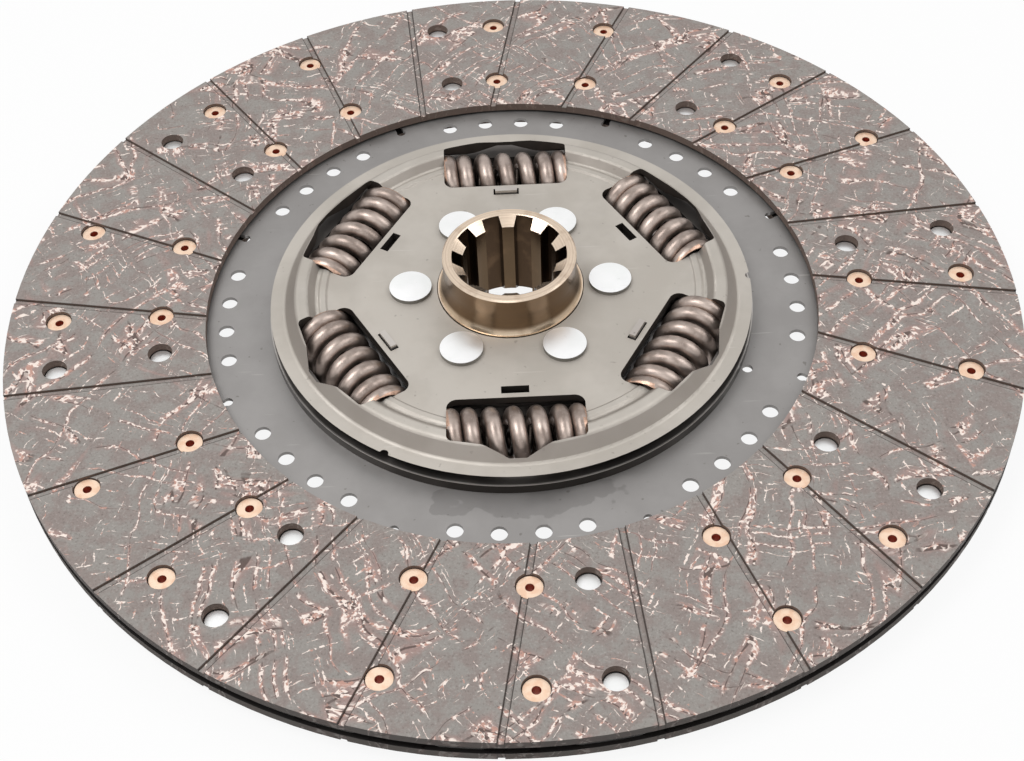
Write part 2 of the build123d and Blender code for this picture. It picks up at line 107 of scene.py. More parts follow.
def add(tree: Tree, kind: str, *feeds: Feed, output: str = "", **settings: str) -> Socket:
    """Add a node with its settings, and feed the inputs that they leave open.

    Args:
        tree: The node tree of a material or the world.
        kind: The node type without its ShaderNode.
        feeds: For each open input in turn, a value, a hex colour or the output that feeds it.
        output: Name of the output to hand on, where that isn't the first open one.
        settings: Properties of the node, such as operation.

    Returns:
        The node's output.
    """
    node = tree.nodes.new(f"ShaderNode{kind}")
    for name, value in settings.items():
        setattr(node, name, value)
    for socket, feed in zip([each for each in node.inputs if each.enabled], feeds):
        if isinstance(feed, Socket):
            tree.links.new(feed, socket)
        else:
            socket.default_value = linear(feed) if isinstance(feed, str) else feed
    if output:
        return node.outputs[output]
    return next(each for each in node.outputs if each.enabled)


def within(tree: Tree, *pairs: tuple[Socket, Fade]) -> Socket:
    """Find where a value lies within its fade, or where several all do.

    Args:
        tree: The material's node tree.
        pairs: Each a value with the fade that reads it, which starts and ends softly.

    Returns:
        The faded values multiplied.
    """
    shares = [add(tree, "MapRange", value, *fade, interpolation_type="SMOOTHSTEP") for value, fade in pairs]
    return reduce(lambda first, second: add(tree, "Math", first, second, operation="MULTIPLY"), shares)


def patches(
    tree: Tree, place: Socket, size_mm: float, fade: Fade, detail: float, roughness: float = 0.5
) -> Socket:
    """Scatter soft-edged random patches whose spacing has a real size.

    Args:
        tree: The material's node tree.
        place: Coordinates in millimetres.
        size_mm: Distance between patches.
        fade: Levels between which a patch comes in. The pattern lies mostly between 0.3 and 0.7.
        detail: Number of finer layers.
        roughness: Strength of the finer layers.

    Returns:
        The share of the patches.
    """
    return within(tree, (add(tree, "TexNoise", place, 1 / size_mm, detail, roughness), fade))


def layered(tree: Tree, base: Feed, *layers: tuple[Feed, Feed]) -> Socket:
    """Lay colours over each other.

    Args:
        tree: The material's node tree.
        base: The lowest colour, as a hex colour or an output.
        layers: Each the share of it that covers, and its colour.

    Returns:
        The mixed colour.
    """
    for share, colour in layers:
        base = add(tree, "Mix", share, base, colour, data_type="RGBA")
    return base


def distance_out(tree: Tree, place: Socket) -> Socket:
    """Measure how far out from the disc's axis a spot lies.

    Args:
        tree: The material's node tree.
        place: Coordinates in millimetres.

    Returns:
        The distance in millimetres.
    """
    flat = add(tree, "VectorMath", place, (1, 1, 0), operation="MULTIPLY")
    return add(tree, "VectorMath", flat, operation="LENGTH")


def facing_up(tree: Tree, lean: Fade) -> Socket:
    """Tell flats from walls by how far the surface leans.

    Args:
        tree: The material's node tree.
        lean: Upward share of the normal at which a wall starts to turn into a flat, and from which it is one.

    Returns:
        0 on a wall and 1 on a flat, whichever way up.
    """
    rise = add(tree, "SeparateXYZ", add(tree, "NewGeometry", output="Normal"), output="Z")
    return within(tree, (add(tree, "Math", rise, operation="ABSOLUTE"), lean))


@dataclass(frozen=True)
class Surface(ABC):
    """What all finishes share: a name, the way to a material, and a bump."""

    name: str

    @abstractmethod
    def write(self, tree: Tree, shader: Shader, place: Socket) -> None:
        """Write the nodes that feed the shader.

        Args:
            tree: The material's node tree.
            shader: The shader to feed.
            place: Coordinates in millimetres.
        """

    def build(self) -> bpy.types.Material:
        """Make the material.

        Returns:
            The finished material.
        """
        material = bpy.data.materials.new(self.name)
        material.use_nodes = True
        tree = material.node_tree
        spot = add(tree, "TexCoord", output="Object")
        place = add(tree, "VectorMath", spot, MM_PER_M, operation="SCALE")
        self.write(tree, tree.nodes["Principled BSDF"], place)
        return material

    def bump(self, tree: Tree, shader: Shader, height: Socket, depth_mm: float) -> None:
        """Let a pattern raise the surface.

        Args:
            tree: The material's node tree.
            shader: The shader that takes the bump.
            height: The pattern, from 0 to 1.
            depth_mm: Height of its tops.
        """
        raised = add(tree, "Bump", 1.0, depth_mm / MM_PER_M, BUMP_STEP_PX, height)
        tree.links.new(raised, shader.inputs["Normal"])


@dataclass(frozen=True)
class Threads:
    """Where the lining's metal threads show, each a share from 0 to 1."""

    bits: Socket
    haze: Socket
    lines: Socket


@dataclass(frozen=True)
class WoundLining(Surface):
    """Moulded friction lining wound from yarn with metal threads, ground flat.

    It is matt grey. Along the curved, crossing yarns the cut metal threads show as chains of short
    ragged copper bits, with cream patches of painted glint, a rosy haze and a thin dark line beside
    them. Dust and painted shade darken the grooves along their walls, the outer rim is painted darker
    as shade, and the side towards the cushion disc is painted nearly black as shade between the parts.
    """

    # The ground face, with its grain.
    grey: str = "9a9590"
    brown_grey: str = "948984"
    mottle_mm: float = 7.0
    mottle: Fade = (0.40, 0.60)
    grain_mm: float = 0.9
    pale_grain: str = "c3bcb7"
    pale: Fade = (0.54, 0.74, 0.0, 0.45)
    dark_grain: str = "6b615d"
    dark: Fade = (0.46, 0.28, 0.0, 0.60)
    specular: float = 0.3
    gloss: Fade = (0.0, 1.0, 0.72, 0.45)
    depth_mm: float = 0.05
    bits_rise: float = 0.6
    # The metal threads.
    copper: str = "c69a8c"
    # Painted highlight: cream patches stand for the glint on the copper bits.
    cream: str = "fff0e6"
    painted_glint_mm: float = 1.6
    painted_glint: Fade = (0.40, 0.52)
    bits_share: float = 0.95
    haze: str = "b09089"
    haze_share: float = 0.6
    hairline: str = "51443f"
    hairline_share: float = 0.8
    # The yarns wander, fray and are notched: the distance between bends, and how far they reach.
    wander_mm: tuple[float, float] = (22.0, 7.0)
    fray_mm: tuple[float, float] = (3.2, 0.8)
    notch_mm: tuple[float, float] = (1.0, 0.4)
    # Each thread follows a contour of a pattern that is drawn out along the yarns.
    mean_radius_mm: float = 158.0
    yarn_pitch_mm: float = 15.0
    yarn_stretch: float = 5.0
    chain_level: float = 0.5
    hairline_level: float = 0.512
    chain_mm: float = 17.0
    chain_stretch: float = 1.6
    bit_mm: float = 1.9
    loose_width_mm: float = 1.5
    loose_length_mm: float = 10.0
    # How near its contour a thread shows, on which stretch of it, and in which bits.
    chain_near: Fade = (0.024, 0.013)
    chain_stretches: Fade = (0.46, 0.50)
    chain_bits: Fade = (0.47, 0.52)
    loose_near: Fade = (0.665, 0.70)
    loose_bits: Fade = (0.44, 0.50)
    haze_near: Fade = (0.05, 0.012)
    haze_stretches: Fade = (0.43, 0.54)
    hairline_near: Fade = (0.0085, 0.0035)
    hairline_stretches: Fade = (0.42, 0.48)
    # Grooves, cut walls, outer rim and the side towards the cushion disc. Dust and painted shade darken the
    # grooves; shade is painted on the rim and on that side.
    # Dust in the grooves, with painted shade along their walls.
    dust_and_shade: str = "3b3532"
    dust_and_shade_share: float = 0.85
    dust_and_shade_half_mm: float = 0.32
    groove_count: int = 24
    groove_offset_mm: float = 24.8
    groove_outer_deg: float = 12.2
    groove_half_mm: float = 1.2
    outer_radius_mm: float = 197.5
    wall: str = "6e5d54"
    wall_share: float = 0.9
    wall_lean: Fade = (0.4, 0.7)
    # Painted shade: the outer rim is painted darker than the hole walls.
    rim: str = "453f3c"
    rim_mm: Fade = (196.5, 196.9)
    # Painted shade: the side towards the cushion disc is painted nearly black.
    back: str = "120d0b"
    back_shade_mm: Fade = (1.9, 1.7)

    def along_yarn(self, tree: Tree, place: Socket, side: float, stretch: float) -> Socket:
        """Lay coordinates along one of the two crossing families of yarns.

        Args:
            tree: The material's node tree.
            place: Coordinates in millimetres.
            side: 1 or -1, the way that the yarns lean.
            stretch: Length of the pattern along a yarn, over its width.

        Returns:
            Coordinates in which a yarn is a line of one direction.
        """
        flat = add(tree, "VectorMath", place, (1, 1, 0), operation="MULTIPLY")
        radius = add(tree, "VectorMath", flat, operation="LENGTH")
        outwards = add(tree, "VectorMath", flat, operation="NORMALIZE")
        spiral = add(tree, "Math", radius, math.e, operation="LOGARITHM")
        turn = add(tree, "Math", spiral, side, operation="MULTIPLY")
        turned = add(tree, "VectorRotate", outwards, (0, 0, 0), turn, rotation_type="Z_AXIS")
        ring = add(tree, "VectorMath", turned, self.mean_radius_mm, operation="SCALE")
        climb = add(tree, "CombineXYZ", 0, 0, add(tree, "Math", radius, stretch, operation="DIVIDE"))
        return add(tree, "VectorMath", ring, climb, operation="ADD")

    def swayed(self, tree: Tree, place: Socket, size_mm: float, reach_mm: float) -> Socket:
        """Push coordinates about, so that lines read from them wander.

        Args:
            tree: The material's node tree.
            place: Coordinates in millimetres.
            size_mm: Distance between bends.
            reach_mm: How far a line may be pushed.

        Returns:
            The pushed coordinates.
        """
        lumps = add(tree, "TexNoise", place, 1 / size_mm, 1.0, output="Color")
        shift = add(tree, "VectorMath", lumps, (0.5, 0.5, 0.5), operation="SUBTRACT")
        sway = add(tree, "VectorMath", shift, 2 * reach_mm, operation="SCALE")
        return add(tree, "VectorMath", place, sway, operation="ADD")

    def off_contour(self, tree: Tree, place: Socket, side: float, level: float) -> Socket:
        """Tell how far a spot lies off the contours that the threads of one family follow.

        Args:
            tree: The material's node tree.
            place: Coordinates in millimetres.
            side: 1 or -1, the way that the yarns lean.
            level: The contours' level in the pattern.

        Returns:
            The distance, in the pattern's own measure.
        """
        laid = self.along_yarn(tree, place, side, self.yarn_stretch)
        bundle = add(tree, "TexNoise", laid, 1 / self.yarn_pitch_mm, 1.0, 0.4)
        return add(tree, "Math", add(tree, "Math", bundle, level, operation="SUBTRACT"), operation="ABSOLUTE")

    def threads(self, tree: Tree, place: Socket, wandering: Socket, ragged: Socket) -> Threads:
        """Cut the metal threads of both families of yarns.

        Args:
            tree: The material's node tree.
            place: Coordinates in millimetres.
            wandering: The same, pushed about in wide bends.
            ragged: The same, frayed and notched besides.

        Returns:
            Where their parts show.
        """
        bits = add(tree, "TexNoise", ragged, 1 / self.bit_mm, 1.0, 0.6)
        shown: list[Feed] = [0.0, 0.0, 0.0]
        for side in (1.0, -1.0):
            off = self.off_contour(tree, ragged, side, self.chain_level)
            crossing = self.along_yarn(tree, place, -side, self.chain_stretch)
            stretches = add(tree, "TexNoise", crossing, 1 / self.chain_mm, 2.0)
            on_stretch = (stretches, self.chain_stretches)
            chain = within(tree, (off, self.chain_near), on_stretch, (bits, self.chain_bits))
            drawn = self.along_yarn(tree, ragged, side, self.loose_length_mm / self.loose_width_mm)
            loose = add(tree, "TexNoise", drawn, 1 / self.loose_width_mm, 1.0, 0.6)
            loose = within(tree, (loose, self.loose_near), (bits, self.loose_bits))
            haze = within(tree, (off, self.haze_near), (stretches, self.haze_stretches))
            beside = self.off_contour(tree, wandering, side, self.hairline_level)
            line = within(tree, (beside, self.hairline_near), (stretches, self.hairline_stretches))
            found = (add(tree, "Math", chain, loose, operation="MAXIMUM"), haze, line)
            shown = [add(tree, "Math", old, new, operation="MAXIMUM") for old, new in zip(shown, found)]
        return Threads(*shown)

    def ground_face(
        self, tree: Tree, place: Socket, ragged: Socket, grain: Socket, threads: Threads
    ) -> Socket:
        """Mix the ground face: mottled grey, grain and the cut threads.

        Args:
            tree: The material's node tree.
            place: Coordinates in millimetres.
            ragged: The same, pushed about as the threads are.
            grain: The pattern of the grain.
            threads: Where the threads show.

        Returns:
            The colour's output.
        """
        haze = add(tree, "Math", threads.haze, self.haze_share, operation="MULTIPLY")
        line = add(tree, "Math", threads.lines, self.hairline_share, operation="MULTIPLY")
        bits = add(tree, "Math", threads.bits, self.bits_share, operation="MULTIPLY")
        # Painted highlight on the copper bits.
        painted_glint = patches(tree, ragged, self.painted_glint_mm, self.painted_glint, 2.0)
        metal = layered(tree, self.copper, (painted_glint, self.cream))
        return layered(
            tree,
            self.grey,
            (patches(tree, place, self.mottle_mm, self.mottle, 4.0, 0.6), self.brown_grey),
            (haze, self.haze),
            (within(tree, (grain, self.pale)), self.pale_grain),
            (within(tree, (grain, self.dark)), self.dark_grain),
            (line, self.hairline),
            (bits, metal),
        )

    def groove_dust_and_shade(self, tree: Tree, place: Socket, radius: Socket) -> Socket:
        """Find the walls of the slanting grooves, which all pass the axis at one distance.

        Args:
            tree: The material's node tree.
            place: Coordinates in millimetres.
            radius: Distance from the axis in millimetres.

        Returns:
            1 along the walls of a groove and 0 elsewhere.
        """
        across_axis = add(tree, "SeparateXYZ", place, output="X")
        up_axis = add(tree, "SeparateXYZ", place, output="Y")
        angle = add(tree, "Math", up_axis, across_axis, operation="ARCTAN2")
        sine = add(tree, "Math", self.groove_offset_mm, radius, operation="DIVIDE")
        lean = add(tree, "Math", sine, operation="ARCSINE")
        first = math.radians(self.groove_outer_deg) - math.asin(self.groove_offset_mm / self.outer_radius_mm)
        straight = add(tree, "Math", angle, lean, operation="SUBTRACT")
        turned = add(tree, "Math", straight, first, operation="SUBTRACT")
        nearest = add(tree, "Math", turned, math.pi / self.groove_count, operation="PINGPONG")
        arm = add(tree, "Math", radius, add(tree, "Math", lean, operation="COSINE"), operation="MULTIPLY")
        off_middle = add(tree, "Math", nearest, arm, operation="MULTIPLY")
        off_wall = add(tree, "Math", off_middle, self.groove_half_mm, operation="SUBTRACT")
        off_wall = add(tree, "Math", off_wall, operation="ABSOLUTE")
        return within(tree, (off_wall, (self.dust_and_shade_half_mm, self.dust_and_shade_half_mm / 2)))

    def edged(self, tree: Tree, place: Socket, face: Socket) -> Socket:
        """Darken the cut walls, and paint shade on the rim and the side towards the cushion disc. Dust and
        painted shade darken the grooves.

        Args:
            tree: The material's node tree.
            place: Coordinates in millimetres.
            face: Colour of the ground face.

        Returns:
            The colour's output.
        """
        radius = distance_out(tree, place)
        # Painted shade, with some grit, along the groove walls.
        dust_and_shade = self.groove_dust_and_shade(tree, place, radius)
        dust_and_shade_amount = add(tree, "Math", dust_and_shade, self.dust_and_shade_share, operation="MULTIPLY")
        face = layered(tree, face, (dust_and_shade_amount, self.dust_and_shade))
        # Painted shade on the outer rim.
        cut = layered(tree, self.wall, (within(tree, (radius, self.rim_mm)), self.rim))
        walls = layered(tree, face, (self.wall_share, cut))
        # Painted shade, nearly black, on the side towards the cushion disc.
        height = add(tree, "Math", add(tree, "SeparateXYZ", place, output="Z"), operation="ABSOLUTE")
        towards_cushion_shade = within(tree, (height, self.back_shade_mm))
        return layered(tree, walls, (facing_up(tree, self.wall_lean), face), (towards_cushion_shade, self.back))

    def write(self, tree: Tree, shader: Shader, place: Socket) -> None:
        """Write the lining's colour, gloss and bump.

        Args:
            tree: The material's node tree.
            shader: The shader to feed.
            place: Coordinates in millimetres.
        """
        wandering = self.swayed(tree, place, *self.wander_mm)
        ragged = self.swayed(tree, self.swayed(tree, wandering, *self.fray_mm), *self.notch_mm)
        threads = self.threads(tree, place, wandering, ragged)
        grain = add(tree, "TexNoise", place, 1 / self.grain_mm, 3.0, 0.7)
        face = self.ground_face(tree, place, ragged, grain, threads)
        tree.links.new(self.edged(tree, place, face), shader.inputs["Base Color"])
        tree.links.new(within(tree, (threads.bits, self.gloss)), shader.inputs["Roughness"])
        shader.inputs["Specular IOR Level"].default_value = self.specular
        proud = add(tree, "Math", threads.bits, self.bits_rise, operation="MULTIPLY")
        self.bump(tree, shader, add(tree, "Math", grain, proud, operation="ADD"), self.depth_mm)


@dataclass(frozen=True)
class SoftCopper(Surface):
    """Copper of a set tubular rivet: pale and smooth on its pressed head, whose cream is partly a painted
    highlight, red-brown down its bore.
    """

    # Partly painted highlight: the head's pale cream stands in part for light on the copper.
    head: str = "fcdfc6"
    shade: str = "ecba98"
    bore: str = "b5523a"
    tarnish_mm: float = 3.0
    tarnish: Fade = (0.40, 0.66, 0.0, 0.5)
    head_mm: Fade = (3.35, 3.75)
    metallic: float = 0.6
    roughness: float = 0.4
    depth_mm: float = 0.03

    def write(self, tree: Tree, shader: Shader, place: Socket) -> None:
        """Write the copper's colour, gloss and bump.

        Args:
            tree: The material's node tree.
            shader: The shader to feed.
            place: Coordinates in millimetres.
        """
        height = add(tree, "Math", add(tree, "SeparateXYZ", place, output="Z"), operation="ABSOLUTE")
        tarnish = add(tree, "TexNoise", place, 1 / self.tarnish_mm, 3.0)
        head = layered(tree, self.head, (within(tree, (tarnish, self.tarnish)), self.shade))
        colour = layered(tree, self.bore, (within(tree, (height, self.head_mm)), head))
        tree.links.new(colour, shader.inputs["Base Color"])
        shader.inputs["Metallic"].default_value = self.metallic
        shader.inputs["Roughness"].default_value = self.roughness
        self.bump(tree, shader, tarnish, self.depth_mm)


@dataclass(frozen=True)
class SheetSteel(Surface):
    """Pressed or ground sheet steel with a thin film of oil.

    It has a soft sheen with cloudy patches, fine random scratches and small dark specks.
    """

    bright: str = "b5b0aa"
    dull: str = "9f9994"
    cloud_mm: float = 34.0
    cloud: Fade = (0.38, 0.64)
    speck: str = "5f5952"
    speck_mm: float = 2.6
    speck_share: float = 0.45
    speck_levels: tuple[float, float] = (0.73, 0.80)
    scratch: str = "d9d5d0"
    scratch_mm: float = 1.1
    scratch_levels: Fade = (0.74, 0.80, 0.0, 0.30)
    scratch_turn: float = 0.6
    scratch_draw: float = 0.05
    metallic: float = 0.85
    roughness: float = 0.42
    film_mm: float = 18.0
    film_levels: tuple[float, float] = (0.35, 0.65)
    film_swing: tuple[float, float] = (-0.05, 0.07)
    grain_mm: float = 1.2
    depth_mm: float = 0.012

    def colour(self, tree: Tree, place: Socket) -> Socket:
        """Mix the sheet's clouds, specks and scratches.

        Args:
            tree: The material's node tree.
            place: Coordinates in millimetres.

        Returns:
            The colour's output.
        """
        drawn = add(tree, "Mapping", place, (0, 0, 0), (0, 0, self.scratch_turn), (self.scratch_draw, 1, 1))
        specks = (*self.speck_levels, 0.0, self.speck_share)
        return layered(
            tree,
            self.bright,
            (patches(tree, place, self.cloud_mm, self.cloud, 4.0, 0.6), self.dull),
            (patches(tree, place, self.speck_mm, specks, 1.0), self.speck),
            (patches(tree, drawn, self.scratch_mm, self.scratch_levels, 1.0), self.scratch),
        )

    def write(self, tree: Tree, shader: Shader, place: Socket) -> None:
        """Write the sheet's colour, gloss and bump.

        Args:
            tree: The material's node tree.
            shader: The shader to feed.
            place: Coordinates in millimetres.
        """
        tree.links.new(self.colour(tree, place), shader.inputs["Base Color"])
        film = (*self.film_levels, *(self.roughness + swing for swing in self.film_swing))
        tree.links.new(patches(tree, place, self.film_mm, film, 3.0), shader.inputs["Roughness"])
        shader.inputs["Metallic"].default_value = self.metallic
        self.bump(tree, shader, add(tree, "TexNoise", place, 1 / self.grain_mm, 3.0), self.depth_mm)


@dataclass(frozen=True)
class StainedSheet(SheetSteel):
    """Sheet steel on which one patch is still wet with oil, darker and with a ragged edge."""

    stain: str = "5a5755"
    stain_share: float = 0.28
    stain_place_mm: tuple[float, float, float] = (3.0, -97.0, 0.0)
    stain_reach_mm: tuple[float, float] = (34.0, 9.0)
    stain_edge: tuple[float, float] = (1.74, 1.66)
    stain_rag_mm: float = 12.0
    stain_rag: float = 1.6

    def colour(self, tree: Tree, place: Socket) -> Socket:
        """Lay the oil patch over the sheet's own colour.

        Args:
            tree: The material's node tree.
            place: Coordinates in millimetres.

        Returns:
            The colour's output.
        """
        away = add(tree, "VectorMath", place, self.stain_place_mm, operation="SUBTRACT")
        shares = (1 / self.stain_reach_mm[0], 1 / self.stain_reach_mm[1], 0)
        fitted = add(tree, "VectorMath", away, shares, operation="MULTIPLY")
        reach = add(tree, "VectorMath", fitted, operation="LENGTH")
        lumps = add(tree, "TexNoise", place, 1 / self.stain_rag_mm, 3.0)
        rag = add(tree, "Math", lumps, self.stain_rag, operation="MULTIPLY")
        ragged = add(tree, "Math", reach, rag, operation="ADD")
        wet = within(tree, (ragged, (*self.stain_edge, 0.0, self.stain_share)))
        return layered(tree, super().colour(tree, place), (wet, self.stain))


@dataclass(frozen=True)
class EdgedPlate(SheetSteel):
    """Thick plate under a film of oil, whose blanked edge is dark, with a painted highlight along the top of
    its rim.
    """

    edge: str = "3c3835"
    edge_lean: Fade = (0.4, 0.7)
    # Painted highlight along the top edge of the plate's rim.
    corner_highlight: str = "c9c4bf"
    corner_highlight_mm: Fade = (4.55, 4.75)
    rim_mm: Fade = (93.9, 94.3)

    def colour(self, tree: Tree, place: Socket) -> Socket:
        """Darken the blanked edge and paint a highlight along the top of its rim.

        Args:
            tree: The material's node tree.
            place: Coordinates in millimetres.

        Returns:
            The colour's output.
        """
        height = add(tree, "SeparateXYZ", place, output="Z")
        # Painted highlight band at the top of the rim.
        painted_highlight_band = within(tree, (height, self.corner_highlight_mm), (distance_out(tree, place), self.rim_mm))
        flats = (facing_up(tree, self.edge_lean), super().colour(tree, place))
        return layered(tree, self.edge, flats, (painted_highlight_band, self.corner_highlight))


@dataclass(frozen=True)
class PressedCover(SheetSteel):
    """Deep-pressed sheet whose slopes are painted darker than its flats, as shade.

    The sheared edges at its windows are dark, and the side towards the damper is painted dark as shade
    between the parts, under old oil.
    """

    # Painted shade: the slopes are painted darker than the flats.
    slope: str = "8f8780"
    slope_shade_share: float = 0.75
    slope_shade_lean: Fade = (0.62, 0.99)
    sheared: str = "4a4541"
    sheared_lean: Fade = (0.10, 0.35)
    # Painted shade, with old oil, on the side towards the damper.
    shaded_oiled_side: str = "2b2725"
    inside_rise: float = -1.0
    inside_lean: Fade = (0.10, 0.35)

    def colour(self, tree: Tree, place: Socket) -> Socket:
        """Darken the slopes a little as painted shade, the sheared edges more, and the inside most as painted
        shade.

        Args:
            tree: The material's node tree.
            place: Coordinates in millimetres.

        Returns:
            The colour's output.
        """
        # Painted shade on the slopes.
        leaning = add(tree, "Math", 1.0, facing_up(tree, self.slope_shade_lean), operation="SUBTRACT")
        slope_shade_amount = add(tree, "Math", leaning, self.slope_shade_share, operation="MULTIPLY")
        pressed = layered(tree, super().colour(tree, place), (slope_shade_amount, self.slope))
        # Painted shade on the inner side.
        rise = add(tree, "SeparateXYZ", add(tree, "NewGeometry", output="Normal"), output="Z")
        turned = add(tree, "Math", rise, self.inside_rise, operation="MULTIPLY")
        inside = within(tree, (turned, self.inside_lean))
        uncut = (facing_up(tree, self.sheared_lean), pressed)
        return layered(tree, self.sheared, uncut, (inside, self.shaded_oiled_side))


@dataclass(frozen=True)
class PlatedHead(SheetSteel):
    """Zinc-plated rivet: bright white on its head, with painted shade that leaves its rim greyer."""

    # Painted shade on the rivet's rim.
    rim: str = "7f7d79"
    shaded_rim_lean: Fade = (0.5, 0.8)

    def colour(self, tree: Tree, place: Socket) -> Socket:
        """Paint shade on the rim, so that it is greyer than the head.

        Args:
            tree: The material's node tree.
            place: Coordinates in millimetres.

        Returns:
            The colour's output.
        """
        return layered(tree, self.rim, (facing_up(tree, self.shaded_rim_lean), super().colour(tree, place)))


@dataclass(frozen=True)
class LugSteel(SheetSteel):
    """Steel ring painted dark as shade and old oil where it lies under the cover; its lugs' tops stand out of
    that shade.
    """

    # Painted shade, with old oil, on all that lies under the cover.
    sunk_shade: str = "1d1a18"
    out_of_shade_mm: Fade = (10.6, 11.6)

    def colour(self, tree: Tree, place: Socket) -> Socket:
        """Darken all that lies under the cover, as painted shade and old oil.

        Args:
            tree: The material's node tree.
            place: Coordinates in millimetres.

        Returns:
            The colour's output.
        """
        # Painted shade below the cover; the lug tops above it keep the steel's colour.
        height = add(tree, "SeparateXYZ", place, output="Z")
        out_of_shade = within(tree, (height, self.out_of_shade_mm))
        return layered(tree, self.sunk_shade, (out_of_shade, super().colour(tree, place)))


@dataclass(frozen=True)
class TurnedSteel(Surface):
    """Steel turned on a lathe and broached, under a warm film of preserving oil.

    Fine rings run round it, and fine lines along its spline slots. The oil stands brown on the side.
    The faces that point up and the foot of the neck are painted lighter, as painted highlight, and the
    spline slots are painted darker than the tooth tips, as painted shade.
    """

    # Painted highlight: faces that point up are painted lighter than the side.
    face: str = "e6d2bd"
    lit_face_lean: Fade = (0.3, 0.6)
    side: str = "75604b"
    # Painted highlight at the foot of the neck.
    foot: str = "f6e2c6"
    foot_highlight_mm: Fade = (15.2, 12.4)
    # Painted shade in the spline slots, darker than the tooth tips.
    slot: str = "3a2e23"
    tooth: str = "665440"
    tooth_reach_mm: Fade = (18.6, 19.6)
    bore_reach_mm: Fade = (22.3, 23.4)
    cut: str = "8a6c50"
    cut_mm: float = 0.8
    cut_levels: Fade = (0.45, 0.70, 0.0, 0.25)
    film: str = "8f7358"
    film_mm: float = 9.0
    film_levels: Fade = (0.50, 0.66, 0.0, 0.25)
    metallic: float = 0.95
    roughness: float = 0.27
    depth_mm: float = 0.015

    def write(self, tree: Tree, shader: Shader, place: Socket) -> None:
        """Write the turned steel's colour, gloss and bump.

        Args:
            tree: The material's node tree.
            shader: The shader to feed.
            place: Coordinates in millimetres.
        """
        height = add(tree, "SeparateXYZ", place, output="Z")
        radius = distance_out(tree, place)
        outside = within(tree, (radius, self.bore_reach_mm))
        climb = add(tree, "Math", height, outside, operation="MULTIPLY")
        cuts = add(tree, "TexNoise", add(tree, "CombineXYZ", radius, 0, climb), 1 / self.cut_mm, 2.0, 0.7)
        # Painted highlight at the foot of the neck.
        neck = layered(tree, self.side, (within(tree, (height, self.foot_highlight_mm)), self.foot))
        # Painted shade deeper in the spline slots.
        sunk_shade = within(tree, (radius, self.tooth_reach_mm))
        colour = layered(
            tree,
            layered(tree, self.tooth, (sunk_shade, self.slot)),
            (outside, neck),
            # Painted highlight on faces that point up.
            (facing_up(tree, self.lit_face_lean), self.face),
            (within(tree, (cuts, self.cut_levels)), self.cut),
            (patches(tree, place, self.film_mm, self.film_levels, 3.0), self.film),
        )
        tree.links.new(colour, shader.inputs["Base Color"])
        shader.inputs["Metallic"].default_value = self.metallic
        shader.inputs["Roughness"].default_value = self.roughness
        self.bump(tree, shader, cuts, self.depth_mm)


@dataclass(frozen=True)
class SpringWire(Surface):
    """Oil-tempered spring wire, shot-peened: brown-grey with a satin sheen and a fine grain."""

    bright: str = "b7a89f"
    dark: str = "8d7f77"
    cloud_mm: float = 7.0
    cloud: Fade = (0.36, 0.64)
    dent: str = "d0c0b6"
    dent_mm: float = 0.8
    dent_levels: Fade = (0.60, 0.74, 0.0, 0.3)
    metallic: float = 0.9
    roughness: float = 0.38
    depth_mm: float = 0.02

    def write(self, tree: Tree, shader: Shader, place: Socket) -> None:
        """Write the wire's colour, gloss and bump.

        Args:
            tree: The material's node tree.
            shader: The shader to feed.
            place: Coordinates in millimetres.
        """
        dents = add(tree, "TexNoise", place, 1 / self.dent_mm, 2.0)
        cloud = patches(tree, place, self.cloud_mm, self.cloud, 3.0)
        peened = within(tree, (dents, self.dent_levels))
        colour = layered(tree, self.bright, (cloud, self.dark), (peened, self.dent))
        tree.links.new(colour, shader.inputs["Base Color"])
        shader.inputs["Metallic"].default_value = self.metallic
        shader.inputs["Roughness"].default_value = self.roughness
        self.bump(tree, shader, dents, self.depth_mm)


@dataclass(frozen=True)
class GroundEnd(Surface):
    """Where a grinding wheel cut a spring's last coil: finely lined, straw to brown from the wheel's heat."""

    straw: str = "8a6f5c"
    brown: str = "665142"
    line_mm: float = 0.7
    line_draw: float = 0.08
    line_levels: Fade = (0.36, 0.64)
    metallic: float = 0.85
    roughness: float = 0.36
    depth_mm: float = 0.02

    def write(self, tree: Tree, shader: Shader, place: Socket) -> None:
        """Write the ground end's colour, gloss and bump.

        Args:
            tree: The material's node tree.
            shader: The shader to feed.
            place: Coordinates in millimetres.
        """
        drawn = add(tree, "Mapping", place, (0, 0, 0), (0, 0, 0), (1, 1, self.line_draw))
        lines = add(tree, "TexNoise", drawn, 1 / self.line_mm, 2.0)
        colour = layered(tree, self.straw, (within(tree, (lines, self.line_levels)), self.brown))
        tree.links.new(colour, shader.inputs["Base Color"])
        shader.inputs["Metallic"].default_value = self.metallic
        shader.inputs["Roughness"].default_value = self.roughness
        self.bump(tree, shader, lines, self.depth_mm)


def paint(nodes: dict[str, Piece], plan: dict[str, Surface]) -> dict[str, str]:
    """Put a finish into every material slot of each named node.

    Args:
        nodes: The CAD nodes by name.
        plan: Node name to its finish.

    Returns:
        Each node's name with the name of its finish.
    """
    made = {finish: finish.build() for finish in dict.fromkeys(plan.values())}
    for name, finish in plan.items():
        mesh = nodes[name].data
        if not mesh.materials:
            mesh.materials.append(made[finish])
        for number in range(len(mesh.materials)):
            mesh.materials[number] = made[finish]
    return {name: finish.name for name, finish in plan.items()}


